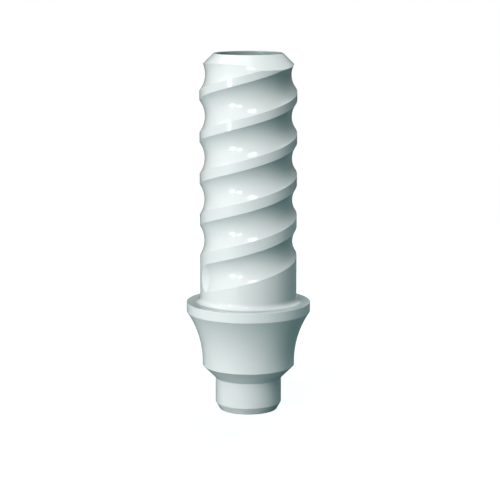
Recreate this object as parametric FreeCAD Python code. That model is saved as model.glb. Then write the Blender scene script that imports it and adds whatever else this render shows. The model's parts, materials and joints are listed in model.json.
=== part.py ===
import FreeCAD, Part
import math
import os
from FreeCAD import Base

# Lengths along the axis, in millimetres, from the rim down to the end of the pin
POST_LENGTH = 9.0              # rim down to the collar's flat shoulder
COLLAR_BAND_HEIGHT = 0.35      # upright outer edge of the collar
SKIRT_LENGTH = 2.0             # flared skirt, from the band down to the seating cone
SKIRT_STRAIGHT = 0.12          # plain ring below the skirt's curve
PIN_LENGTH = 1.175             # below the seating cone, lead-in included
PIN_LEAD_HEIGHT = 0.26         # chamfer that leads the pin into the implant
SCREW_SEAT_RISE = 0.45         # seat of the screw's head, above the top of the seating cone

# Diameters
POST_DIAMETER = 3.5
COLLAR_DIAMETER = 4.5
SKIRT_END_DIAMETER = 3.35
PIN_DIAMETER = 2.4
CHANNEL_DIAMETER = 2.3         # lets the head of the clamping screw down to its seat
SHANK_HOLE_DIAMETER = 1.8      # lets only the screw's shank through

# Edges and transitions, with angles in degrees from the axis
RIM_LAND = 0.09                # flat ring between the channel and the rim's chamfer
RIM_CHAMFER_ANGLE = 45.0
SEAT_CONE_ANGLE = 45.0
PIN_LEAD_ANGLE = 30.0
SHOULDER_FILLET = 0.22         # between the post and the collar

# Retention grooves, cut by a ball-nosed tool and rising to the right
GROOVE_STARTS = 2
GROOVE_LEAD_LENGTH = 3.0       # rise of one groove in a full turn
GROOVE_RADIUS = 1.0            # of the groove's round section
GROOVE_END_DEPTH = 0.145       # at the lower end, where the groove is shallowest
GROOVE_TAPER = 0.5             # degrees by which the root closes in towards the rim
GROOVE_END_RISE = 1.0          # middle of the lower end, above the shoulder
GROOVE_END_AZIMUTH = 210.5     # of the first lower end, in degrees from +X towards +Y
RAMP_ANGLE = 15.0              # slope of the ramp on which the tool leaves the post
TOOL_OVERLAP = 0.1             # how far the cutting shapes stand out of the post

# Radii and heights that follow from the sizes above, from the end of the pin upwards
POST_RADIUS = POST_DIAMETER / 2
COLLAR_RADIUS = COLLAR_DIAMETER / 2
SKIRT_END_RADIUS = SKIRT_END_DIAMETER / 2
PIN_RADIUS = PIN_DIAMETER / 2
CHANNEL_RADIUS = CHANNEL_DIAMETER / 2
SHANK_HOLE_RADIUS = SHANK_HOLE_DIAMETER / 2
RIM_RADIUS = CHANNEL_RADIUS + RIM_LAND
PIN_END_RADIUS = PIN_RADIUS - PIN_LEAD_HEIGHT * math.tan(math.radians(PIN_LEAD_ANGLE))

CONE_BOTTOM_Z = PIN_LENGTH
CONE_TOP_Z = CONE_BOTTOM_Z + (SKIRT_END_RADIUS - PIN_RADIUS) / math.tan(math.radians(SEAT_CONE_ANGLE))
SKIRT_CURVE_Z = CONE_TOP_Z + SKIRT_STRAIGHT
SCREW_SEAT_Z = CONE_TOP_Z + SCREW_SEAT_RISE
BAND_BOTTOM_Z = CONE_TOP_Z + SKIRT_LENGTH
SHOULDER_Z = BAND_BOTTOM_Z + COLLAR_BAND_HEIGHT
RIM_Z = SHOULDER_Z + POST_LENGTH
RIM_CHAMFER_Z = RIM_Z - (POST_RADIUS - RIM_RADIUS) / math.tan(math.radians(RIM_CHAMFER_ANGLE))

GROOVE_END_ROOT = POST_RADIUS - GROOVE_END_DEPTH
GROOVE_END_PATH = GROOVE_END_ROOT + GROOVE_RADIUS
GROOVE_END_Z = SHOULDER_Z + GROOVE_END_RISE
GROOVE_TOP_Z = RIM_Z + GROOVE_RADIUS

ORIGIN = Base.Vector(0, 0, 0)
AXIS = Base.Vector(0, 0, 1)


def at(radius, height):
    """Point of the half section, at a distance from the axis and a height above the pin's end."""
    return Base.Vector(radius, 0, height)


def line(start, end):
    """Straight edge between two points."""
    return Part.LineSegment(start, end).toShape()


def arc(start, middle, end):
    """Round edge through three points."""
    return Part.Arc(start, middle, end).toShape()


def skirt_curve():
    """Concave flare of the skirt, upright at its lower end and open towards the collar."""
    rise = BAND_BOTTOM_Z - SKIRT_CURVE_Z
    reach = COLLAR_RADIUS - SKIRT_END_RADIUS
    radius = (reach ** 2 + rise ** 2) / (2 * reach)
    half_turn = math.asin(rise / radius) / 2
    middle = at(SKIRT_END_RADIUS + radius * (1 - math.cos(half_turn)),
                SKIRT_CURVE_Z + radius * math.sin(half_turn))
    return arc(at(SKIRT_END_RADIUS, SKIRT_CURVE_Z), middle, at(COLLAR_RADIUS, BAND_BOTTOM_Z))


def shoulder_fillet():
    """Round inner corner where the post grows out of the collar's flat shoulder."""
    centre = at(POST_RADIUS + SHOULDER_FILLET, SHOULDER_Z + SHOULDER_FILLET)
    middle = centre - Base.Vector(1, 0, 1).normalize() * SHOULDER_FILLET
    return arc(at(centre.x, SHOULDER_Z), middle, at(POST_RADIUS, centre.z))


def turned_blank():
    """The post as it leaves the lathe: pin, seating cone, skirt, collar, plain post and screw channel."""
    outline = Part.Wire([
        line(at(SHANK_HOLE_RADIUS, 0), at(PIN_END_RADIUS, 0)),
        line(at(PIN_END_RADIUS, 0), at(PIN_RADIUS, PIN_LEAD_HEIGHT)),
        line(at(PIN_RADIUS, PIN_LEAD_HEIGHT), at(PIN_RADIUS, CONE_BOTTOM_Z)),
        line(at(PIN_RADIUS, CONE_BOTTOM_Z), at(SKIRT_END_RADIUS, CONE_TOP_Z)),
        line(at(SKIRT_END_RADIUS, CONE_TOP_Z), at(SKIRT_END_RADIUS, SKIRT_CURVE_Z)),
        skirt_curve(),
        line(at(COLLAR_RADIUS, BAND_BOTTOM_Z), at(COLLAR_RADIUS, SHOULDER_Z)),
        line(at(COLLAR_RADIUS, SHOULDER_Z), at(POST_RADIUS + SHOULDER_FILLET, SHOULDER_Z)),
        shoulder_fillet(),
        line(at(POST_RADIUS, SHOULDER_Z + SHOULDER_FILLET), at(POST_RADIUS, RIM_CHAMFER_Z)),
        line(at(POST_RADIUS, RIM_CHAMFER_Z), at(RIM_RADIUS, RIM_Z)),
        line(at(RIM_RADIUS, RIM_Z), at(CHANNEL_RADIUS, RIM_Z)),
        line(at(CHANNEL_RADIUS, RIM_Z), at(CHANNEL_RADIUS, SCREW_SEAT_Z)),
        line(at(CHANNEL_RADIUS, SCREW_SEAT_Z), at(SHANK_HOLE_RADIUS, SCREW_SEAT_Z)),
        line(at(SHANK_HOLE_RADIUS, SCREW_SEAT_Z), at(SHANK_HOLE_RADIUS, 0)),
    ])
    return Part.Face(outline).revolve(ORIGIN, AXIS, 360)


def groove_section(path_radius, height):
    """Outline of the tool in a plane through the axis: round bottom, closed just outside the post."""
    outer_radius = POST_RADIUS + TOOL_OVERLAP
    half_width = math.sqrt(GROOVE_RADIUS ** 2 - (path_radius - outer_radius) ** 2)
    lower = at(outer_radius, height - half_width)
    upper = at(outer_radius, height + half_width)
    return Part.Wire([arc(lower, at(path_radius - GROOVE_RADIUS, height), upper), line(upper, lower)])


def groove_sweep():
    """Helical run of one groove, from above the rim down to a lower end that lies towards +X."""
    rise = GROOVE_TOP_Z - GROOVE_END_Z
    top_path = GROOVE_END_PATH - rise * math.tan(math.radians(GROOVE_TAPER))

    # A helix widens upwards as it is drawn, so it begins at its narrow end and is turned over
    helix = Part.makeHelix(GROOVE_LEAD_LENGTH, rise, top_path, GROOVE_TAPER)
    helix.rotate(ORIGIN, Base.Vector(1, 0, 0), 180)
    helix.translate(AXIS * GROOVE_TOP_Z)

    pipe = Part.BRepOffsetAPI.MakePipeShell(Part.Wire(helix.Edges))
    pipe.setFrenetMode(True)
    pipe.add(groove_section(top_path, GROOVE_TOP_Z))
    pipe.build()
    pipe.makeSolid()
    sweep = pipe.shape()
    sweep.rotate(ORIGIN, AXIS, 360 * rise / GROOVE_LEAD_LENGTH)
    return sweep


def groove_ramp(sweep):
    """Straight way out of the post at the groove's lower end, drawn from the sweep's own end face."""
    flat_ends = [face for face in sweep.Faces if isinstance(face.Surface, Part.Plane)]
    end_face = min(flat_ends, key=lambda face: face.CenterOfMass.z)
    angle = math.radians(RAMP_ANGLE)
    fall = GROOVE_LEAD_LENGTH / (2 * math.pi * GROOVE_END_PATH)
    direction = Base.Vector(math.sin(angle), -math.cos(angle), -fall * math.cos(angle))
    root_reach = math.sqrt(POST_RADIUS ** 2 - (GROOVE_END_ROOT * math.cos(angle)) ** 2)
    return end_face.extrude(direction * (root_reach - GROOVE_END_ROOT * math.sin(angle) + TOOL_OVERLAP))


def cementing_post():
    """The finished post: the turned blank with its evenly spaced retention grooves milled in."""
    sweep = groove_sweep()
    groove = sweep.fuse(groove_ramp(sweep))
    post = turned_blank()
    for start in range(GROOVE_STARTS):
        turned = groove.copy()
        turned.rotate(ORIGIN, AXIS, GROOVE_END_AZIMUTH + start * 360 / GROOVE_STARTS)
        post = post.cut(turned)
    return post.Solids[0]


os.makedirs("parts", exist_ok=True)
cementing_post().exportStep("parts/cementing_post.step")
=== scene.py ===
"""Dressed model of a temporary cementing post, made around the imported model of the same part."""

import json
import logging
import math
from dataclasses import dataclass
from enum import Enum

import bpy
import numpy as np
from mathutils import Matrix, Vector

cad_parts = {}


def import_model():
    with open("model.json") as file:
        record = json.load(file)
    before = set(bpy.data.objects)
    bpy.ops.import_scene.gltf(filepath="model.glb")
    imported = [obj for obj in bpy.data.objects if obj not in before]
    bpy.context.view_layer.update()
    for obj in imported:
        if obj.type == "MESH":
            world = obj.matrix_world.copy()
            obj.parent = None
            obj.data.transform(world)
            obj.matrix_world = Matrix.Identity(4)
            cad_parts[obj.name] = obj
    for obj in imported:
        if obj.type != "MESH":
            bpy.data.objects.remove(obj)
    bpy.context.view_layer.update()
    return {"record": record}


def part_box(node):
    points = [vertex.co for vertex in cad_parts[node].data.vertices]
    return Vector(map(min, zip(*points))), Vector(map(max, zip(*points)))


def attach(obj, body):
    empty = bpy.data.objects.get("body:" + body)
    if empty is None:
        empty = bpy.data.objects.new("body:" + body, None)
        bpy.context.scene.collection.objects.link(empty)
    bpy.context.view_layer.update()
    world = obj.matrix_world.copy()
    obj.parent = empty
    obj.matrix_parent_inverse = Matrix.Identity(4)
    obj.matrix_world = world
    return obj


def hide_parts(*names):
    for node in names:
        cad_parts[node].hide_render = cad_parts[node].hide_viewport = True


LOG = logging.getLogger("cementing_post")
MM = 0.001
NODE = "cementing_post"
BODY = "root"
TRAVEL = "tool_travel"
EDGE = "edge_distance"
TINY_LENGTH = 1e-12

Colour = tuple[float, float, float]
Socket = bpy.types.NodeSocket


def opaque(colour: Colour) -> tuple[float, float, float, float]:
    """The colour with an alpha of one, as colour sockets take it."""
    return (*colour, 1.0)


def add_object(name: str, data: bpy.types.ID) -> bpy.types.Object:
    """Makes an object of its data and puts it into the scene.

    Args:
        name: The object's name.
        data: Its mesh, light or camera.

    Returns:
        The object, at the origin.
    """
    made = bpy.data.objects.new(name, data)
    bpy.context.scene.collection.objects.link(made)
    return made


class Cut(Enum):
    """How a surface of the post is made, by the name of its finish; the channel's and the shoulder's
    finishes also carry painted shade.
    """

    TURNED = "Turned Finish"
    MILLED = "Milled Finish"
    # The channel's wall: drilled, with darker tones that are painted shade in the recess.
    DRILLED_AND_SHADED = "Drilled Finish And Painted Shade"
    # The flat shoulder: a rougher faced finish, with darker tones that are painted shade at the post's
    # foot.
    FACED_AND_SHADED = "Faced Finish And Painted Shade"


class Field:
    """A value that a node tree works out, which plain arithmetic turns into further Math nodes."""

    def __init__(self, tree: bpy.types.NodeTree, socket: Socket) -> None:
        """Keeps the tree and the output socket that carries the value.

        Args:
            tree: Node tree that the value belongs to.
            socket: Output socket that carries it.
        """
        self.tree = tree
        self.socket = socket

    def math(self, operation: str, *others: "Field | float") -> "Field":
        """Applies one Math node to this value.

        Args:
            operation: Name of the operation, such as MULTIPLY.
            others: Further operands, as values of the same tree or as numbers.

        Returns:
            The node's result.
        """
        node = self.tree.nodes.new("ShaderNodeMath")
        node.operation = operation
        for slot, operand in zip(node.inputs, (self, *others)):
            if isinstance(operand, Field):
                self.tree.links.new(operand.socket, slot)
            else:
                slot.default_value = operand
        return Field(self.tree, node.outputs[0])

    def __add__(self, other: "Field | float") -> "Field":
        """Sum of two values."""
        return self.math("ADD", other)

    def __sub__(self, other: "Field | float") -> "Field":
        """Difference of two values."""
        return self.math("SUBTRACT", other)

    def __mul__(self, other: "Field | float") -> "Field":
        """Product of two values."""
        return self.math("MULTIPLY", other)

    def __truediv__(self, other: "Field | float") -> "Field":
        """Quotient of two values."""
        return self.math("DIVIDE", other)

    def __neg__(self) -> "Field":
        """The value with its sign turned."""
        return self.math("MULTIPLY", -1.0)

    def at_least(self, limit: float) -> "Field":
        """The value, or the limit where the value is lower."""
        return self.math("MAXIMUM", limit)

    def at_most(self, limit: float) -> "Field":
        """The value, or the limit where the value is higher."""
        return self.math("MINIMUM", limit)


class NodeWriter:
    """Adds nodes to one tree and hands their outputs back as values."""

    def __init__(self, tree: bpy.types.NodeTree) -> None:
        """Keeps the tree that the nodes go into.

        Args:
            tree: Tree of a material, a world or a group.
        """
        self.tree = tree

    @classmethod
    def starting_on(cls, owner: bpy.types.Material | bpy.types.World) -> "NodeWriter":
        """Empties the node tree of a material or a world.

        Args:
            owner: The material or world.

        Returns:
            The writer for its tree.
        """
        owner.use_nodes = True
        owner.node_tree.nodes.clear()
        return cls(owner.node_tree)

    def node(
        self, kind: str, result: str | int = 0, settings: dict | None = None, **inputs: object
    ) -> Field:
        """Adds a node of any kind.

        Args:
            kind: The node's type.
            result: Name or number of the output to hand back.
            settings: Properties of the node itself.
            inputs: Values by input name, with underscores for spaces.

        Returns:
            The chosen output as a value.
        """
        node = self.tree.nodes.new(kind)
        for key, value in (settings or {}).items():
            setattr(node, key, value)
        self.fill(node, {key.replace("_", " "): value for key, value in inputs.items()})
        return Field(self.tree, node.outputs[result])

    def fill(self, node: bpy.types.Node, inputs: dict[str, object]) -> None:
        """Links or sets inputs of one node.

        Args:
            node: Node whose inputs are filled.
            inputs: Values, or results of other nodes, by input name.
        """
        for name, value in inputs.items():
            slot = next(slot for slot in node.inputs if slot.name == name and slot.enabled)
            if isinstance(value, Field):
                self.tree.links.new(value.socket, slot)
            else:
                slot.default_value = value

    def end(self, kind: str, surface: Field) -> None:
        """Adds the output node of a material or a world.

        Args:
            kind: The output node's type.
            surface: Shader that it takes.
        """
        output = self.tree.nodes.new(kind)
        self.tree.links.new(surface.socket, output.inputs["Surface"])

    def effect(self, group: bpy.types.NodeTree, **inputs: object) -> dict[str, Field]:
        """Places a shader node group.

        Args:
            group: The group's tree.
            inputs: Values by input name, with underscores for spaces.

        Returns:
            The group's outputs by name.
        """
        node = self.tree.nodes.new("ShaderNodeGroup")
        node.node_tree = group
        self.fill(node, {key.replace("_", " "): value for key, value in inputs.items()})
        return {output.name: Field(self.tree, output) for output in node.outputs}

    def blend(self, share: Field, low: object, high: object) -> Field:
        """Mixes two colours.

        Args:
            share: How much of the second colour there is, from 0 to 1.
            low: First colour, written out or from another node.
            high: Second colour, written out or from another node.

        Returns:
            The mixed colour.
        """
        node = self.tree.nodes.new("ShaderNodeMix")
        node.data_type = "RGBA"
        self.fill(node, {"Factor": share, "A": low, "B": high})
        return Field(self.tree, next(output for output in node.outputs if output.enabled))


class TreeBuilder(NodeWriter):
    """Builds one node tree or group with named inputs and outputs."""

    def __init__(self, name: str, kind: str) -> None:
        """Starts an empty tree.

        Args:
            name: Name of the new tree.
            kind: GeometryNodeTree or ShaderNodeTree.
        """
        super().__init__(bpy.data.node_groups.new(name, kind))
        self.identifiers: dict[str, str] = {}
        self.entry = self.tree.nodes.new("NodeGroupInput")
        self.exit = self.tree.nodes.new("NodeGroupOutput")

    def add_input(self, name: str, kind: str = "NodeSocketFloat") -> Field:
        """Adds a named input.

        Args:
            name: The input's name.
            kind: The socket's type.

        Returns:
            The input as a value inside the tree.
        """
        item = self.tree.interface.new_socket(name=name, in_out="INPUT", socket_type=kind)
        self.identifiers[name] = item.identifier
        return Field(self.tree, self.entry.outputs[name])

    def add_output(self, name: str, source: Field, kind: str = "NodeSocketFloat") -> None:
        """Adds a named output.

        Args:
            name: The output's name.
            source: The value that it gives.
            kind: The socket's type.
        """
        self.tree.interface.new_socket(name=name, in_out="OUTPUT", socket_type=kind)
        self.tree.links.new(source.socket, self.exit.inputs[name])


@dataclass(frozen=True)
class Corner:
    """One corner of the half section: where it lies and how far its edge is rounded."""

    radius: float
    height: float
    edge: float = 0.0


@dataclass(frozen=True)
class Surface:
    """What the finishes need to know at a number of places on the post."""

    normals: np.ndarray
    travel: np.ndarray
    edge: np.ndarray

    def picked(self, rows: np.ndarray) -> "Surface":
        """The surface at some of its places, by row number."""
        return Surface(self.normals[rows], self.travel[rows], self.edge[rows])

    def replaced(self, chosen: np.ndarray, other: "Surface") -> "Surface":
        """Takes some of its places from another surface.

        Args:
            chosen: Whether each place is taken from the other surface.
            other: Surface with one row for each chosen place, in the same order.

        Returns:
            The surface with those places changed.
        """
        normals, travel, edge = self.normals.copy(), self.travel.copy(), self.edge.copy()
        normals[chosen], travel[chosen], edge[chosen] = other.normals, other.travel, other.edge
        return Surface(normals, travel, edge)


@dataclass(frozen=True)
class Outline:
    """The closed half section, by radius and height, and which points lie on the middle of an edge."""

    points: np.ndarray
    normals: np.ndarray
    edges: tuple[int, ...]

    def travel(self) -> np.ndarray:
        """Length of the outline up to each point, and around to the first one again."""
        runs = np.roll(self.points, -1, axis=0) - self.points
        return np.concatenate(((0.0,), np.cumsum(np.hypot(runs[:, 0], runs[:, 1]))))


@dataclass
class CementingPost:
    """The one-piece post: a turned blank with a screw channel and two milled retention grooves.

    The first value is the highest corner of the solid, which gives the collar's radius and the height.
    """

    high: Vector
    post_radius: float = 1.75 * MM
    channel_radius: float = 1.15 * MM
    shank_hole_radius: float = 0.9 * MM
    pin_radius: float = 1.2 * MM
    pin_length: float = 1.175 * MM
    pin_lead: tuple[float, float] = (0.15 * MM, 0.26 * MM)
    skirt_end_radius: float = 1.675 * MM
    skirt_straight: float = 0.12 * MM
    skirt_length: float = 2.0 * MM
    band_height: float = 0.35 * MM
    screw_seat_rise: float = 0.45 * MM
    rim_land: float = 0.09 * MM
    shoulder_fillet: float = 0.22 * MM
    facing_blend: float = 0.02 * MM
    edge_break: float = 0.012 * MM
    wide_edge: float = 0.1 * MM
    edge_chord: float = math.radians(22.0)
    wide_chord: float = math.radians(11.0)
    fewest_chords: int = 3
    skirt_chords: int = 40
    groove_starts: int = 2
    groove_lead: float = 3.0 * MM
    groove_radius: float = 1.0 * MM
    groove_end_depth: float = 0.145 * MM
    groove_taper: float = math.radians(0.5)
    groove_end_rise: float = 1.0 * MM
    groove_end_azimuth: float = math.radians(210.5)
    ramp_angle: float = math.radians(15.0)
    tool_overlap: float = 0.1 * MM
    around: int = 320
    path_steps: int = 520
    section_points: int = 44
    arc_share: float = 0.82

    def __post_init__(self) -> None:
        """Works out the heights that follow from the sizes, from the pin's end upwards."""
        self.collar_radius = self.high.x
        self.rim_z = self.high.z
        self.cone_top_z = self.pin_length + self.skirt_end_radius - self.pin_radius
        self.band_bottom_z = self.cone_top_z + self.skirt_length
        self.shoulder_z = self.band_bottom_z + self.band_height
        self.end_z = self.shoulder_z + self.groove_end_rise
        self.end_path = self.post_radius - self.groove_end_depth + self.groove_radius
        self.top_z = self.rim_z + self.groove_radius
        self.tolerance = 0.1 * self.edge_break

    def skirt_points(self) -> list[Corner]:
        """Places the points of the concave flare between its two ends.

        Returns:
            The points from the upright lower end up to the last one below the band.
        """
        start = self.cone_top_z + self.skirt_straight
        rise = self.band_bottom_z - start
        reach = self.collar_radius - self.skirt_end_radius
        bend = (reach**2 + rise**2) / (2 * reach)
        chord = math.asin(rise / bend) / self.skirt_chords
        return [
            Corner(
                self.skirt_end_radius + bend * (1 - math.cos(chord * step)),
                start + bend * math.sin(chord * step),
            )
            for step in range(self.skirt_chords)
        ]

    def corners(self) -> list[Corner]:
        """Lists the corners of the half section.

        Returns:
            The corners of the closed shape, anticlockwise with the axis on the left.
        """
        edge = self.edge_break
        lead_in, lead_height = self.pin_lead
        rim_radius = self.channel_radius + self.rim_land
        seat_z = self.cone_top_z + self.screw_seat_rise
        return [
            Corner(self.shank_hole_radius, 0.0, edge),
            Corner(self.pin_radius - lead_in, 0.0, edge),
            Corner(self.pin_radius, lead_height, edge),
            Corner(self.pin_radius, self.pin_length, edge),
            Corner(self.skirt_end_radius, self.cone_top_z, edge),
            *self.skirt_points(),
            Corner(self.collar_radius, self.band_bottom_z, edge),
            Corner(self.collar_radius, self.shoulder_z, edge),
            Corner(self.post_radius, self.shoulder_z, self.shoulder_fillet),
            Corner(self.post_radius, self.rim_z - (self.post_radius - rim_radius), edge),
            Corner(rim_radius, self.rim_z, edge),
            Corner(self.channel_radius, self.rim_z, edge),
            Corner(self.channel_radius, seat_z, edge),
            Corner(self.shank_hole_radius, seat_z, edge),
        ]

    def outline(self) -> Outline:
        """Rounds the corners of the half section.

        Returns:
            The outline's points with their outward normals and the middles of its edges.
        """
        corners = self.corners()
        points: list[tuple[float, float]] = []
        normals: list[tuple[float, float]] = []
        edges: list[int] = []
        for index, corner in enumerate(corners):
            here = np.array((corner.radius, corner.height))
            before = np.array((corners[index - 1].radius, corners[index - 1].height))
            following = corners[(index + 1) % len(corners)]
            after = np.array((following.radius, following.height))
            way_in = (here - before) / np.linalg.norm(here - before)
            way_out = (after - here) / np.linalg.norm(after - here)
            across = way_in[0] * way_out[1] - way_in[1] * way_out[0]
            turn = math.atan2(across, float(way_in @ way_out))
            if corner.edge == 0.0:
                middle = (way_in + way_out) / np.linalg.norm(way_in + way_out)
                points.append(tuple(here))
                normals.append((middle[1], -middle[0]))
                continue
            setback = corner.edge * math.tan(abs(turn) / 2)
            start = here - way_in * setback
            side = math.copysign(1.0, turn)
            centre = start + corner.edge * side * np.array((-way_in[1], way_in[0]))
            wide = corner.edge > self.wide_edge
            chord_turn = self.wide_chord if wide else self.edge_chord
            chords = max(self.fewest_chords, round(abs(turn) / chord_turn))
            if not wide:
                edges.append(len(points) + chords // 2)
            for chord in range(chords + 1):
                angle = turn * chord / chords
                cos, sin = math.cos(angle), math.sin(angle)
                outward = np.array(
                    (sin * way_in[0] + cos * way_in[1], sin * way_in[1] - cos * way_in[0])
                )
                points.append(tuple(centre + corner.edge * side * outward))
                normals.append(tuple(outward))
        return Outline(np.array(points), np.array(normals), tuple(edges))

    def blank_mesh(self) -> bpy.types.Mesh:
        """Spins the half section into the blank.

        Returns:
            The closed mesh, with the faces of its channel and flat shoulder marked, which later take
            finishes with painted shade.
        """
        points = self.outline().points
        count = len(points)
        angles = np.arange(self.around) * 2 * math.pi / self.around
        radii, heights = points[:, 0], points[:, 1]
        vertices = np.stack(
            (
                np.outer(np.cos(angles), radii),
                np.outer(np.sin(angles), radii),
                np.tile(heights, (self.around, 1)),
            ),
            axis=-1,
        ).reshape(-1, 3)
        faces = []
        for turn in range(self.around):
            near, far = turn * count, (turn + 1) % self.around * count
            for step in range(count):
                ahead = (step + 1) % count
                faces.append((near + step, far + step, far + ahead, near + ahead))
        mesh = bpy.data.meshes.new("turned_blank")
        mesh.from_pydata(vertices.tolist(), [], faces)
        # The channel and the flat shoulder are marked for finishes whose darker tones are painted
        # shade.
        drilled = radii <= self.channel_radius + self.tolerance
        above = heights - self.shoulder_z
        faced = (above > -self.tolerance) & (above < self.facing_blend) & (radii > self.post_radius)
        for mark, chosen in (("drilled", drilled), ("faced", faced)):
            marks = mesh.attributes.new(mark, "BOOLEAN", "FACE")
            marks.data.foreach_set("value", np.tile(chosen & np.roll(chosen, -1), self.around))
        return mesh

    def groove_tool(self, build: TreeBuilder, sizes: dict[str, Field]) -> Field:
        """Builds the solid that one groove removes, from its ramp up to above the rim.

        Args:
            build: Tree that the nodes go into.
            sizes: The tree's named inputs.

        Returns:
            The tool's mesh.
        """
        steps, share = sizes["Path Steps"], sizes["Arc Share"]
        tube = build.node(
            "GeometryNodeMeshCylinder",
            settings={"fill_type": "NGON"},
            Vertices=sizes["Section Points"],
            Side_Segments=steps,
            Radius=1.0,
            Depth=1.0,
        )
        place = build.node("GeometryNodeInputPosition")
        parts = build.node("ShaderNodeSeparateXYZ", Vector=place).socket.node
        across, along, up = (Field(build.tree, output) for output in parts.outputs)
        row = (up + 0.5) * steps
        ramp = (-(row - 1.0)).at_least(0.0)
        climbed = (row - 1.0).at_least(0.0) / (steps - 1.0) * sizes["Rise"]
        path_radius = sizes["End Path Radius"] - climbed * sizes["Taper"].math("TANGENT")
        radius = sizes["Groove Radius"]
        span = ((path_radius - sizes["Outer Radius"]) / radius).math("ARCCOSINE")
        round_trip = along.math("ARCTAN2", across) / (2 * math.pi) + 0.5
        angle = ((round_trip / share).at_most(1.0) * 2.0 - 1.0) * span
        back = ((round_trip - share) / (-share + 1.0)).at_least(0.0)
        drop = sizes["Lead"] / (sizes["End Path Radius"] * 2 * math.pi)
        lift = sizes["Ramp Angle"]
        reach = ramp * sizes["Ramp Length"]
        ahead = reach * lift.math("COSINE")
        local = build.node(
            "ShaderNodeCombineXYZ",
            X=path_radius - radius * angle.math("COSINE") + reach * lift.math("SINE"),
            Y=-ahead,
            Z=radius * angle.math("SINE") * (back * -2.0 + 1.0) - ahead * drop,
        )
        azimuth = sizes["End Azimuth"] + climbed / sizes["Lead"] * (2 * math.pi)
        turned = build.node(
            "ShaderNodeVectorRotate",
            settings={"rotation_type": "Z_AXIS"},
            Vector=local,
            Angle=azimuth,
        )
        height = build.node("ShaderNodeCombineXYZ", Z=sizes["End Height"] + climbed)
        return build.node("GeometryNodeSetPosition", Geometry=tube, Position=turned, Offset=height)

    def milling_tree(self) -> TreeBuilder:
        """Builds the tree that mills the evenly spaced grooves into the blank.

        Returns:
            The builder, which holds the tree and the identifiers of its inputs.
        """
        build = TreeBuilder("milled_grooves", "GeometryNodeTree")
        blank = build.add_input("Blank", "NodeSocketGeometry")
        sizes = {}
        for name, value in self.milling_values().items():
            kind = "NodeSocketInt" if isinstance(value, int) else "NodeSocketFloat"
            sizes[name] = build.add_input(name, kind)
        finishes = {cut: build.add_input(cut.value, "NodeSocketMaterial") for cut in Cut}
        tool = self.groove_tool(build, sizes)
        spots = build.node("GeometryNodePoints", Count=sizes["Starts"])
        number = build.node("GeometryNodeInputIndex")
        turn = build.node("ShaderNodeCombineXYZ", Z=number / sizes["Starts"] * (2 * math.pi))
        copies = build.node(
            "GeometryNodeInstanceOnPoints", Points=spots, Instance=tool, Rotation=turn
        )
        tools = build.node("GeometryNodeRealizeInstances", Geometry=copies)
        marked = build.node(
            "GeometryNodeStoreNamedAttribute",
            settings={"data_type": "BOOLEAN", "domain": "FACE"},
            Geometry=tools,
            Name="milled",
            Value=True,
        )
        grooved = build.node(
            "GeometryNodeMeshBoolean",
            settings={"operation": "DIFFERENCE", "solver": "EXACT"},
            Mesh_1=blank,
            Mesh_2=marked,
        )
        whole = build.node("GeometryNodeRealizeInstances", Geometry=grooved)
        dressed = build.node(
            "GeometryNodeSetMaterial", Geometry=whole, Material=finishes[Cut.TURNED]
        )
        # The channel's and the shoulder's finishes darken them with painted shade.
        for mark, cut in (("milled", Cut.MILLED), ("drilled", Cut.DRILLED_AND_SHADED), ("faced", Cut.FACED_AND_SHADED)):
            marked_faces = build.node(
                "GeometryNodeInputNamedAttribute", settings={"data_type": "BOOLEAN"}, Name=mark
            )
            dressed = build.node(
                "GeometryNodeSetMaterial",
                Geometry=dressed,
                Selection=marked_faces,
                Material=finishes[cut],
            )
        build.add_output("Post", dressed, "NodeSocketGeometry")
        return build

    def milling_values(self) -> dict[str, float | int]:
        """Works out what the milling tree is given.

        Returns:
            The values of its number inputs, by name.
        """
        root = self.post_radius - self.groove_end_depth
        exit_reach = math.sqrt(self.post_radius**2 - (root * math.cos(self.ramp_angle)) ** 2)
        return {
            "Starts": self.groove_starts,
            "Lead": self.groove_lead,
            "Rise": self.top_z - self.end_z,
            "Taper": self.groove_taper,
            "Groove Radius": self.groove_radius,
            "End Path Radius": self.end_path,
            "End Height": self.end_z,
            "End Azimuth": self.groove_end_azimuth,
            "Ramp Angle": self.ramp_angle,
            "Ramp Length": exit_reach - root * math.sin(self.ramp_angle) + self.tool_overlap,
            "Outer Radius": self.post_radius + self.tool_overlap,
            "Section Points": self.section_points,
            "Path Steps": self.path_steps,
            "Arc Share": self.arc_share,
        }

    def turned_surface(self, points: np.ndarray) -> Surface:
        """Reads the turned surface from the nearest place on the half section's outline.

        Args:
            points: Places on the surface, one row each.

        Returns:
            The surface at each of them, with the turning tool's travel along the outline.
        """
        outline = self.outline()
        ends, end_slopes = np.roll(outline.points, -1, axis=0), np.roll(outline.normals, -1, axis=0)
        runs = ends - outline.points
        reached = outline.travel()
        flat = np.stack((np.hypot(points[:, 0], points[:, 1]), points[:, 2]), axis=1)
        best = np.full(len(points), np.inf)
        slope = np.zeros_like(flat)
        travel = np.zeros(len(points))
        for number, (start, run) in enumerate(zip(outline.points, runs)):
            length = max(float(np.hypot(*run)), TINY_LENGTH)
            share = np.clip((flat - start) @ run / length**2, 0.0, 1.0)
            gap = ((flat - start - share[:, None] * run) ** 2).sum(1)
            closer = gap < best
            best[closer] = gap[closer]
            first = outline.normals[number]
            slope[closer] = first + share[closer, None] * (end_slopes[number] - first)
            travel[closer] = reached[number] + share[closer] * length
        slope /= np.linalg.norm(slope, axis=1)[:, None]
        outward = points[:, :2] / np.maximum(flat[:, :1], TINY_LENGTH)
        edge = np.abs(travel[:, None] - reached[list(outline.edges)]).min(axis=1)
        edge = np.minimum(edge, self.land_to_groove(points, flat[:, 0]))
        return Surface(np.column_stack((outward * slope[:, :1], slope[:, 1])), travel, edge)

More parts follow.
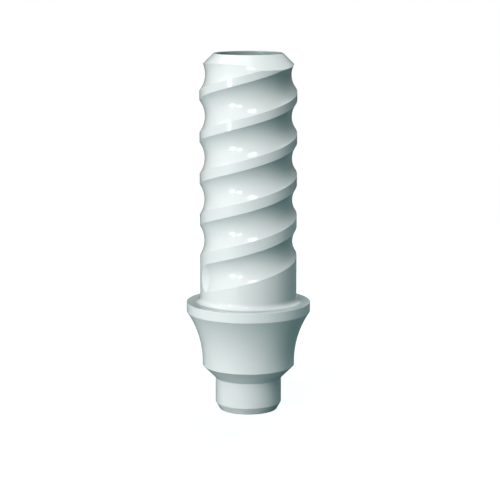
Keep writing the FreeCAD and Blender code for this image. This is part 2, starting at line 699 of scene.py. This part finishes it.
    def groove_reach(self, climbed: np.ndarray, radius: float | np.ndarray) -> np.ndarray:
        """Angle that the groove's round section spans to each side of its middle.

        Args:
            climbed: How far the groove has climbed from its lower end.
            radius: Distance from the axis at which the section is measured.

        Returns:
            The angle about the section's centre, in radians.
        """
        path_radius = self.end_path - np.maximum(climbed, 0.0) * math.tan(self.groove_taper)
        return np.arccos(np.clip((path_radius - radius) / self.groove_radius, -1.0, 1.0))

    def land_to_groove(self, points: np.ndarray, radius: np.ndarray) -> np.ndarray:
        """Distance of places on the lands from the nearest groove's border.

        Args:
            points: Places on turned surfaces, one row each.
            radius: Distance of each of them from the axis.

        Returns:
            The distance, or a long one where no groove is near.
        """
        climbed, _ = self.climb(points)
        half = self.groove_radius * np.sin(self.groove_reach(climbed, radius))
        gap = np.abs(points[:, 2] - self.end_z - climbed) - half
        near = (climbed > 0) & (radius > self.channel_radius + self.edge_break)
        return np.where(near, np.maximum(gap, 0.0), self.groove_radius)

    def climb(self, points: np.ndarray) -> tuple[np.ndarray, np.ndarray]:
        """Finds the groove that each place lies in.

        Args:
            points: Places on milled surfaces, one row each.

        Returns:
            How far each groove has climbed there above its lower end, which is negative on a ramp,
            and the direction of the groove's lower end.
        """
        spacing = self.groove_lead / self.groove_starts
        azimuth = np.arctan2(points[:, 1], points[:, 0])
        turns = (azimuth - self.groove_end_azimuth) / (2 * math.pi)
        number = np.round((points[:, 2] - self.end_z) / spacing - turns * self.groove_starts)
        climbed = spacing * (number + turns * self.groove_starts)
        return climbed, azimuth - climbed / self.groove_lead * 2 * math.pi

    def milled_surface(self, points: np.ndarray, on_ramp: np.ndarray) -> Surface:
        """Reads the milled surface from the rule that the tool's path follows.

        Args:
            points: Places on milled surfaces, one row each.
            on_ramp: Whether each of them belongs to a ramp.

        Returns:
            The surface at each of them, with the milling tool's travel along the groove.
        """
        climbed, end = self.climb(points)
        azimuth = np.arctan2(points[:, 1], points[:, 0])
        radius = np.hypot(points[:, 0], points[:, 1])
        drop = self.groove_lead / (2 * math.pi * self.end_path)
        sin, cos = math.sin(self.ramp_angle), math.cos(self.ramp_angle)
        ramp_reach = radius * np.sin(end - azimuth) / cos
        path_height = self.end_z + np.where(on_ramp, -drop * cos * ramp_reach, climbed)
        rise = points[:, 2] - path_height
        lean = np.clip(rise / self.groove_radius, -1.0, 1.0)
        upright = np.sqrt(1 - lean**2)
        pitch = self.groove_lead / (2 * math.pi)
        shrink = -math.tan(self.groove_taper) * pitch
        sweep = (upright * radius, lean * pitch - upright * shrink, -lean * radius)
        ramp = (upright * cos, upright * sin + lean * drop * cos, -lean * cos)
        local = np.stack(
            [np.where(on_ramp, there, here) for here, there in zip(sweep, ramp)], axis=1
        )
        local /= np.linalg.norm(local, axis=1)[:, None]
        heading = np.where(on_ramp, end, azimuth)
        normals = np.column_stack(
            (
                local[:, 0] * np.cos(heading) - local[:, 1] * np.sin(heading),
                local[:, 0] * np.sin(heading) + local[:, 1] * np.cos(heading),
                local[:, 2],
            )
        )
        path_per_climb = math.hypot(1.0, 2 * math.pi * self.end_path / self.groove_lead)
        travel = np.where(on_ramp, -ramp_reach, climbed * path_per_climb)
        spread = self.groove_reach(climbed, self.post_radius) - np.abs(np.arcsin(lean))
        return Surface(normals, travel, self.groove_radius * np.maximum(spread, 0.0))

    def mark_surface(self, mesh: bpy.types.Mesh) -> None:
        """Gives every face corner the true normal, the tool's travel and the distance from an edge.

        Args:
            mesh: The milled post, with its milled faces marked.
        """
        places = np.zeros(len(mesh.vertices) * 3, np.float32)
        mesh.vertices.foreach_get("co", places)
        places = places.reshape(-1, 3).astype(float)
        milled, drilled = (np.zeros(len(mesh.polygons), bool) for _ in range(2))
        mesh.attributes["milled"].data.foreach_get("value", milled)
        mesh.attributes["drilled"].data.foreach_get("value", drilled)
        centres = np.zeros(len(mesh.polygons) * 3, np.float32)
        mesh.polygons.foreach_get("center", centres)
        climbed, _ = self.climb(centres.reshape(-1, 3).astype(float))
        sizes = np.zeros(len(mesh.polygons), np.int32)
        mesh.polygons.foreach_get("loop_total", sizes)
        vertex = np.zeros(len(mesh.loops), np.int32)
        mesh.loops.foreach_get("vertex_index", vertex)
        corner_milled = np.repeat(milled, sizes)
        corner_drilled = np.repeat(drilled, sizes)
        corner_ramp = np.repeat(climbed < 0, sizes)[corner_milled]
        turned = self.turned_surface(places).picked(vertex)
        grooves = self.milled_surface(places[vertex[corner_milled]], corner_ramp)
        whole = turned.replaced(corner_milled, grooves)
        whole.travel[corner_drilled] = places[vertex[corner_drilled], 2]
        mesh.shade_smooth()
        mesh.normals_split_custom_set(whole.normals.tolist())
        for name, values in ((TRAVEL, whole.travel), (EDGE, whole.edge)):
            mesh.attributes.new(name, "FLOAT", "CORNER").data.foreach_set("value", values)

    def build(self, finishes: dict[Cut, bpy.types.Material]) -> bpy.types.Object:
        """Makes the post as one piece in its place.

        Args:
            finishes: Material for each way of cutting.

        Returns:
            The piece, with no modifiers left on it.
        """
        blank = add_object("turned_blank", self.blank_mesh())
        milling = self.milling_tree()
        grooves = blank.modifiers.new("grooves", "NODES")
        grooves.node_group = milling.tree
        values = {**self.milling_values(), **{cut.value: finish for cut, finish in finishes.items()}}
        for name, value in values.items():
            grooves[milling.identifiers[name]] = value
        shapes = bpy.context.evaluated_depsgraph_get()
        mesh = bpy.data.meshes.new_from_object(blank.evaluated_get(shapes), depsgraph=shapes)
        bpy.data.objects.remove(blank)
        self.mark_surface(mesh)
        mesh.name = "dressed_post"
        return add_object("dressed_post", mesh)


WAVER_SCALE = 900.0
WAVER_SHARE = 0.35
CLOUD_SHARE = 0.7
GRAIN_SHARE = 0.3
TONE_CONTRAST = 2.2
POLISH_PATCH_SCALE = 3500.0
POLISH_FALL_OFF = 1.6


def tool_mark_effect() -> bpy.types.NodeTree:
    """Builds the group for the fine ridges that a cutting tool leaves between its passes.

    Returns:
        The group's tree.
    """
    build = TreeBuilder("tool_marks", "ShaderNodeTree")
    travel, pitch = build.add_input("Travel"), build.add_input("Pitch")
    depth, unevenness = build.add_input("Depth"), build.add_input("Unevenness")
    place = build.add_input("Place", "NodeSocketVector")
    waver = build.node("ShaderNodeTexNoise", Vector=place, Scale=WAVER_SCALE, Detail=1.0)
    passes = travel / pitch + waver * WAVER_SHARE
    chance = build.node(
        "ShaderNodeTexWhiteNoise", settings={"noise_dimensions": "1D"}, W=passes.math("FLOOR")
    )
    ridge = (passes.math("FRACT") * 2.0 - 1.0).math("POWER", 2.0)
    trace = ridge * (-(chance * unevenness) + 1.0)
    build.add_output("Trace", trace)
    build.add_output("Height", trace * depth)
    return build.tree


def tone_effect() -> bpy.types.NodeTree:
    """Builds the group for the soft cloudiness and fine grain of the plastic.

    Returns:
        The group's tree.
    """
    build = TreeBuilder("plastic_tone", "ShaderNodeTree")
    place = build.add_input("Place", "NodeSocketVector")
    patches, grain = build.add_input("Patches"), build.add_input("Grain")
    cloud = build.node(
        "ShaderNodeTexNoise", Vector=place, Scale=patches, Detail=3.0, Roughness=0.55
    )
    speck = build.node("ShaderNodeTexNoise", Vector=place, Scale=grain, Detail=2.0, Roughness=0.6)
    mixed = cloud * CLOUD_SHARE + speck * GRAIN_SHARE
    build.add_output("Tone", (mixed - 0.5) * TONE_CONTRAST + 0.5)
    build.add_output("Grain", speck)
    return build.tree


def polish_and_highlight_effect() -> bpy.types.NodeTree:
    """Builds the group for the narrow band along each edge that handling has rubbed smooth, which also
    lightens the colour there, partly as a painted highlight.

    Returns:
        The group's tree.
    """
    build = TreeBuilder("edge_polish_and_highlight", "ShaderNodeTree")
    edge, width = build.add_input("Edge"), build.add_input("Width")
    breakup = build.add_input("Breakup")
    place = build.add_input("Place", "NodeSocketVector")
    patch = build.node("ShaderNodeTexNoise", Vector=place, Scale=POLISH_PATCH_SCALE, Detail=2.0)
    near = (-(edge / width) + 1.0).at_least(0.0).math("POWER", POLISH_FALL_OFF)
    build.add_output("Polish And Highlight", near * (-(patch * breakup) + 1.0))
    return build.tree


@dataclass(frozen=True)
class Effects:
    """The shader node groups that every finish of the post uses."""

    marks: bpy.types.NodeTree
    tone: bpy.types.NodeTree
    polish_and_highlight: bpy.types.NodeTree


@dataclass(frozen=True)
class WhitePlastic:
    """The post's white plastic as one way of cutting leaves it, with painted shade in the colour that
    bounced light sees and a partly painted highlight along its edges.
    """

    name: str
    mark_pitch: float
    mark_depth: float
    mark_unevenness: float
    roughness: float = 0.36
    roughness_swing: float = 0.10
    mark_roughness: float = 0.05
    coat: float = 1.0
    coat_roughness: float = 0.05
    specular: float = 0.20
    dark_tone: Colour = (0.838, 0.860, 0.851)
    light_tone: Colour = (0.882, 0.900, 0.889)
    # Lighter tone along the edges: partly wear, partly a painted highlight.
    edge_wear_and_highlight_tone: Colour = (0.905, 0.918, 0.912)
    # Colour that bounced light sees: painted shade that deepens and tints the shade in grooves and on
    # shaded sides.
    painted_bounce_shade: Colour = (0.08, 0.15, 0.15)
    patches: float = 420.0
    grain: float = 9000.0
    grain_depth: float = 0.00006 * MM
    polish_width: float = 0.045 * MM
    polish_breakup: float = 0.7
    polish_and_highlight_share: float = 0.45
    polish_smoothing: float = 0.08

    def material(self, effects: Effects) -> bpy.types.Material:
        """Builds the finish's material.

        Args:
            effects: The groups that it shares with the other finishes.

        Returns:
            The material.
        """
        made = bpy.data.materials.new(self.name)
        write = NodeWriter.starting_on(made)
        place = write.node("ShaderNodeTexCoord", "Object")
        travel = write.node("ShaderNodeAttribute", "Fac", {"attribute_name": TRAVEL})
        edge = write.node("ShaderNodeAttribute", "Fac", {"attribute_name": EDGE})
        tone = write.effect(effects.tone, Place=place, Patches=self.patches, Grain=self.grain)
        marks = write.effect(
            effects.marks,
            Travel=travel,
            Pitch=self.mark_pitch,
            Depth=self.mark_depth,
            Unevenness=self.mark_unevenness,
            Place=place,
        )
        polish_and_highlight = write.effect(
            effects.polish_and_highlight,
            Edge=edge,
            Width=self.polish_width,
            Breakup=self.polish_breakup,
            Place=place,
        )["Polish And Highlight"]
        body = write.blend(tone["Tone"], opaque(self.dark_tone), opaque(self.light_tone))
        # Edges turn lighter: partly wear, partly a painted highlight along them.
        rubbed_and_highlit = write.blend(polish_and_highlight * self.polish_and_highlight_share, body, opaque(self.edge_wear_and_highlight_tone))
        # Bounced light sees the dark teal tone instead of the plastic's own colour: painted shade in
        # grooves and on shaded sides.
        bounced = write.node("ShaderNodeLightPath", "Is Diffuse Ray")
        colour = write.blend(bounced, rubbed_and_highlit, opaque(self.painted_bounce_shade))
        swing = (tone["Tone"] - 0.5) * self.roughness_swing + marks["Trace"] * self.mark_roughness
        height = marks["Height"] + tone["Grain"] * self.grain_depth
        relief = write.node("ShaderNodeBump", Distance=1.0, Height=height)
        plastic = write.node(
            "ShaderNodeBsdfPrincipled",
            Base_Color=colour,
            Roughness=swing - polish_and_highlight * self.polish_smoothing + self.roughness,
            Normal=relief,
            Specular_IOR_Level=self.specular,
            Coat_Weight=self.coat,
            Coat_Roughness=self.coat_roughness,
        )
        write.end("ShaderNodeOutputMaterial", plastic)
        return made


def post_finishes() -> dict[Cut, bpy.types.Material]:
    """Makes the materials of the post.

    Returns:
        The material for each way of cutting.
    """
    effects = Effects(tool_mark_effect(), tone_effect(), polish_and_highlight_effect())
    finishes = {
        Cut.TURNED: WhitePlastic("turned_white_plastic", 0.040 * MM, 0.00030 * MM, 0.7),
        Cut.MILLED: WhitePlastic("milled_white_plastic", 0.065 * MM, 0.00040 * MM, 0.8),
        Cut.DRILLED_AND_SHADED: WhitePlastic(
            "drilled_plastic_painted_shade",
            0.030 * MM,
            0.0010 * MM,
            0.3,
            roughness=0.10,
            roughness_swing=0.06,
            mark_roughness=0.03,
            coat=0.0,
            specular=0.50,
            # Dark teal tones on the channel's wall: painted shade for the deep recess.
            dark_tone=(0.180, 0.268, 0.264),
            light_tone=(0.220, 0.312, 0.307),
            painted_bounce_shade=(0.180, 0.265, 0.262),
        ),
        Cut.FACED_AND_SHADED: WhitePlastic(
            "faced_plastic_painted_shade",
            0.030 * MM,
            0.00030 * MM,
            0.6,
            roughness=0.48,
            # Darker tones on the flat shoulder: painted shade at the foot of the post; the higher
            # roughness is its real finish.
            dark_tone=(0.570, 0.660, 0.655),
            light_tone=(0.615, 0.700, 0.695),
        ),
    }
    return {cut: finish.material(effects) for cut, finish in finishes.items()}


class LampUse(Enum):
    """What a studio lamp is there for."""

    SOFT_LIGHT = "lights the plastic, and its gloss shows no edge of it"
    REFLECTION = "shows in the gloss alone"
    BOTH = "lights the plastic and shows in its gloss"


class LampShape(Enum):
    """Outline of a studio lamp's face."""

    ROUND = "ELLIPSE"
    PANEL = "RECTANGLE"

    @property
    def fill(self) -> float:
        """Share of its width times its depth that the lamp's face covers."""
        return math.pi / 4 if self is LampShape.ROUND else 1.0


def area_light(
    name: str, shape: LampShape, width: float, depth: float, brightness: float
) -> bpy.types.Object:
    """Adds a light whose face is equally bright at any size.

    Args:
        name: The light's name.
        shape: Outline of its face.
        width: Width of its face.
        depth: Depth of its face.
        brightness: How bright the face looks, where 1 is white.

    Returns:
        The light at the origin, facing down and hidden from the camera.
    """
    light = bpy.data.lights.new(name, "AREA")
    light.shape = shape.value
    light.size, light.size_y = width, depth
    light.energy = math.pi * width * depth * shape.fill * brightness
    lamp = add_object(name, light)
    lamp.visible_camera = False
    return lamp


@dataclass(frozen=True)
class Lamp:
    """One studio lamp, with its direction from the post and the angles that its face spans.

    The direction and the angles are in degrees, and the azimuth runs from the front to the right.
    """

    name: str
    azimuth: float
    elevation: float
    spread: tuple[float, float]
    brightness: float
    use: LampUse = LampUse.SOFT_LIGHT
    shape: LampShape = LampShape.PANEL
    colour: Colour = (1.0, 1.0, 1.0)
    distance: float = 400.0 * MM
    aim_height: float = 6.5 * MM

    def build(self) -> None:
        """Places the lamp so that it faces the post."""
        width, depth = (
            2 * self.distance * math.tan(math.radians(angle / 2)) for angle in self.spread
        )
        lamp = area_light(self.name, self.shape, width, depth, self.brightness)
        lamp.data.color = self.colour
        turn, lift = math.radians(self.azimuth), math.radians(self.elevation)
        level = math.cos(lift)
        way = Vector((math.sin(turn) * level, -math.cos(turn) * level, math.sin(lift)))
        lamp.location = Vector((0.0, 0.0, self.aim_height)) + way * self.distance
        lamp.rotation_euler = way.to_track_quat("Z", "Y").to_euler()
        lamp.visible_glossy = self.use is not LampUse.SOFT_LIGHT
        lamp.visible_diffuse = self.use is not LampUse.REFLECTION


@dataclass(frozen=True)
class SheenPanel:
    """A soft panel over the post that lies level and shows only as a reflection in its gloss."""

    name: str
    left: float
    right: float
    brightness: float
    front: float = -48.0 * MM
    back: float = 220.0 * MM
    height: float = 414.0 * MM

    def build(self) -> None:
        """Hangs the panel, face down."""
        width, depth = self.right - self.left, self.back - self.front
        panel = area_light(self.name, LampShape.PANEL, width, depth, self.brightness)
        panel.location = (self.left + width / 2, self.front + depth / 2, self.height)
        panel.visible_diffuse = False


@dataclass(frozen=True)
class Viewpoint:
    """Where the camera stands in front of the post, and how it looks at it."""

    distance: float = 62.0 * MM
    height: float = 16.992 * MM
    pitch: float = math.radians(10.16)
    lens: float = 125.0
    shift: float = 0.0033

    def build(self) -> None:
        """Sets up the scene's camera."""
        camera_data = bpy.data.cameras.new("camera")
        camera_data.lens = self.lens
        camera_data.shift_x = self.shift
        camera_data.clip_start = 1.0 * MM
        camera = add_object("camera", camera_data)
        camera.location = (0.0, -self.distance, self.height)
        camera.rotation_euler = (math.pi / 2 - self.pitch, 0.0, 0.0)
        bpy.context.scene.camera = camera


@dataclass(frozen=True)
class Studio:
    """Pale floor, soft lamps and dim surroundings in which the post stands."""

    lamps: tuple[Lamp | SheenPanel, ...]
    floor_radius: float = 45.0 * MM
    floor_sides: int = 128
    floor_tone: Colour = (0.10, 0.15, 0.15)
    floor_glow: float = 0.93
    clear_floor: tuple[float, float] = (4.0 * MM, 22.0 * MM)
    shade: Colour = (0.008, 0.034, 0.040)
    gloss_share: float = 0.03

    def surroundings(self, write: NodeWriter) -> Field:
        """What a ray sees around the post: white for the camera, dim teal for matt surfaces.

        Args:
            write: Writer of the tree that asks.

        Returns:
            The colour, which is nearly dark for a ray that the gloss mirrors.
        """
        rays = write.tree.nodes.new("ShaderNodeLightPath")
        camera, through, mirrored = (
            Field(write.tree, rays.outputs[name])
            for name in ("Is Camera Ray", "Is Transmission Ray", "Is Glossy Ray")
        )
        around = write.blend(mirrored, opaque(self.shade), opaque((0.0, 0.0, 0.0)))
        bright = (camera + through + mirrored * self.gloss_share).at_most(1.0)
        return write.blend(bright, around, opaque((1.0, 1.0, 1.0)))

    def build_world(self) -> None:
        """Makes the world around the floor."""
        world = bpy.data.worlds.new("studio")
        write = NodeWriter.starting_on(world)
        sky = write.node("ShaderNodeBackground", Color=self.surroundings(write), Strength=1.0)
        write.end("ShaderNodeOutputWorld", sky)
        bpy.context.scene.world = world

    def build_floor(self) -> bpy.types.Object:
        """Lays the pale floor just under the post.

        Returns:
            The floor.
        """
        turns = [2 * math.pi * side / self.floor_sides for side in range(self.floor_sides)]
        ring = [
            (self.floor_radius * math.cos(turn), self.floor_radius * math.sin(turn), 0.0)
            for turn in turns
        ]
        mesh = bpy.data.meshes.new("studio_floor")
        mesh.from_pydata(ring, [], [tuple(range(self.floor_sides))])
        mesh.materials.append(self.floor_finish())
        return add_object("studio_floor", mesh)

    def floor_finish(self) -> bpy.types.Material:
        """Makes the matt finish that looks white to the camera and keeps the post's shadow.

        Returns:
            The floor's material.
        """
        finish = bpy.data.materials.new("studio_floor")
        write = NodeWriter.starting_on(finish)
        matt = write.node("ShaderNodeBsdfDiffuse", Color=opaque(self.floor_tone))
        place = write.node("ShaderNodeTexCoord", "Object")
        away = write.node("ShaderNodeVectorMath", "Value", {"operation": "LENGTH"}, Vector=place)
        clear = write.node(
            "ShaderNodeMapRange",
            Value=away,
            From_Min=self.clear_floor[0],
            From_Max=self.clear_floor[1],
            To_Min=self.floor_glow,
            To_Max=1.0,
        )
        glow = write.node("ShaderNodeEmission", Color=self.surroundings(write), Strength=clear)
        both = write.tree.nodes.new("ShaderNodeAddShader")
        write.tree.links.new(matt.socket, both.inputs[0])
        write.tree.links.new(glow.socket, both.inputs[1])
        write.end("ShaderNodeOutputMaterial", Field(write.tree, both.outputs[0]))
        return finish

    def build(self) -> bpy.types.Object:
        """Sets the scene around the post.

        Returns:
            The floor.
        """
        for lamp in self.lamps:
            lamp.build()
        self.build_world()
        return self.build_floor()


WARM_LIGHT: Colour = (1.10, 1.0, 1.0)
COOL_FILL: Colour = (0.91, 1.0, 0.99)
TEAL_FILL: Colour = (0.66, 1.0, 0.98)
SHEEN_SPLIT = 48.0 * MM
SHEEN_REACH = 520.0 * MM
SHEEN_BACK = 220.0 * MM
SHEEN_END = 1600.0 * MM
LAMPS = (
    Lamp("key_high", -8.4, 47.8, (17.5, 17.5), 8.0, LampUse.REFLECTION, LampShape.ROUND),
    Lamp("key_mid", -28.2, 12.2, (11.5, 11.5), 8.5, LampUse.BOTH, LampShape.ROUND),
    Lamp("key_low", -44.2, 0.3, (13.0, 13.0), 9.0, LampUse.BOTH, LampShape.ROUND),
    Lamp("front_high", -5.0, 60.0, (32.0, 32.0), 3.1, colour=COOL_FILL),
    Lamp("front_left", -30.0, 30.0, (32.0, 32.0), 3.95, colour=WARM_LIGHT),
    Lamp("front_left_low", -30.0, 7.0, (32.0, 18.0), 2.35, colour=TEAL_FILL),
    Lamp("left_low", -62.0, 5.0, (32.0, 14.0), 2.3, colour=WARM_LIGHT),
    Lamp("left_rim", -97.0, 14.0, (26.0, 26.0), 2.6, colour=COOL_FILL),
    Lamp("right_back", 118.0, 45.0, (40.0, 40.0), 0.63, colour=TEAL_FILL),
    Lamp("back_high", 170.0, 50.0, (40.0, 40.0), 2.35, colour=COOL_FILL),
    Lamp("back_fill", 172.0, 5.0, (80.0, 40.0), 2.3),
    Lamp("channel_gleam", -45.0, 5.2, (2.4, 4.2), 300.0, LampUse.REFLECTION),
    SheenPanel("left_sheen", -SHEEN_REACH, SHEEN_SPLIT, 2.2),
    SheenPanel("right_sheen", SHEEN_SPLIT, SHEEN_REACH, 1.4),
    SheenPanel("right_sheen_back", SHEEN_SPLIT, SHEEN_REACH, 0.95, SHEEN_BACK, SHEEN_REACH),
    SheenPanel("right_sheen_end", SHEEN_SPLIT, SHEEN_REACH, 0.55, SHEEN_REACH, SHEEN_END),
)


def main() -> None:
    """Builds the studio and the dressed post around the loaded frame."""
    logging.basicConfig(level=logging.INFO, format="%(name)s: %(message)s")
    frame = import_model()
    _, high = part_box(NODE)
    bpy.context.scene.view_settings.view_transform = "Standard"
    Viewpoint().build()
    Studio(LAMPS).build()
    LOG.info("studio: %d lamps, floor and surroundings", len(LAMPS))
    mounts = {mount["name"]: mount.get("dims", {}) for mount in frame["record"]["mounts"]}
    post = CementingPost(
        high,
        pin_radius=mounts["implant_pin"]["r_mm"] * MM,
        channel_radius=mounts["screw_channel"]["r_mm"] * MM,
        shank_hole_radius=mounts["shank_hole"]["r_mm"] * MM,
    )
    piece = post.build(post_finishes())
    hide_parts(NODE)
    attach(piece, BODY)
    LOG.info("%s: %d faces, rides on %s", piece.name, len(piece.data.polygons), BODY)


if __name__ == "__main__":
    main()
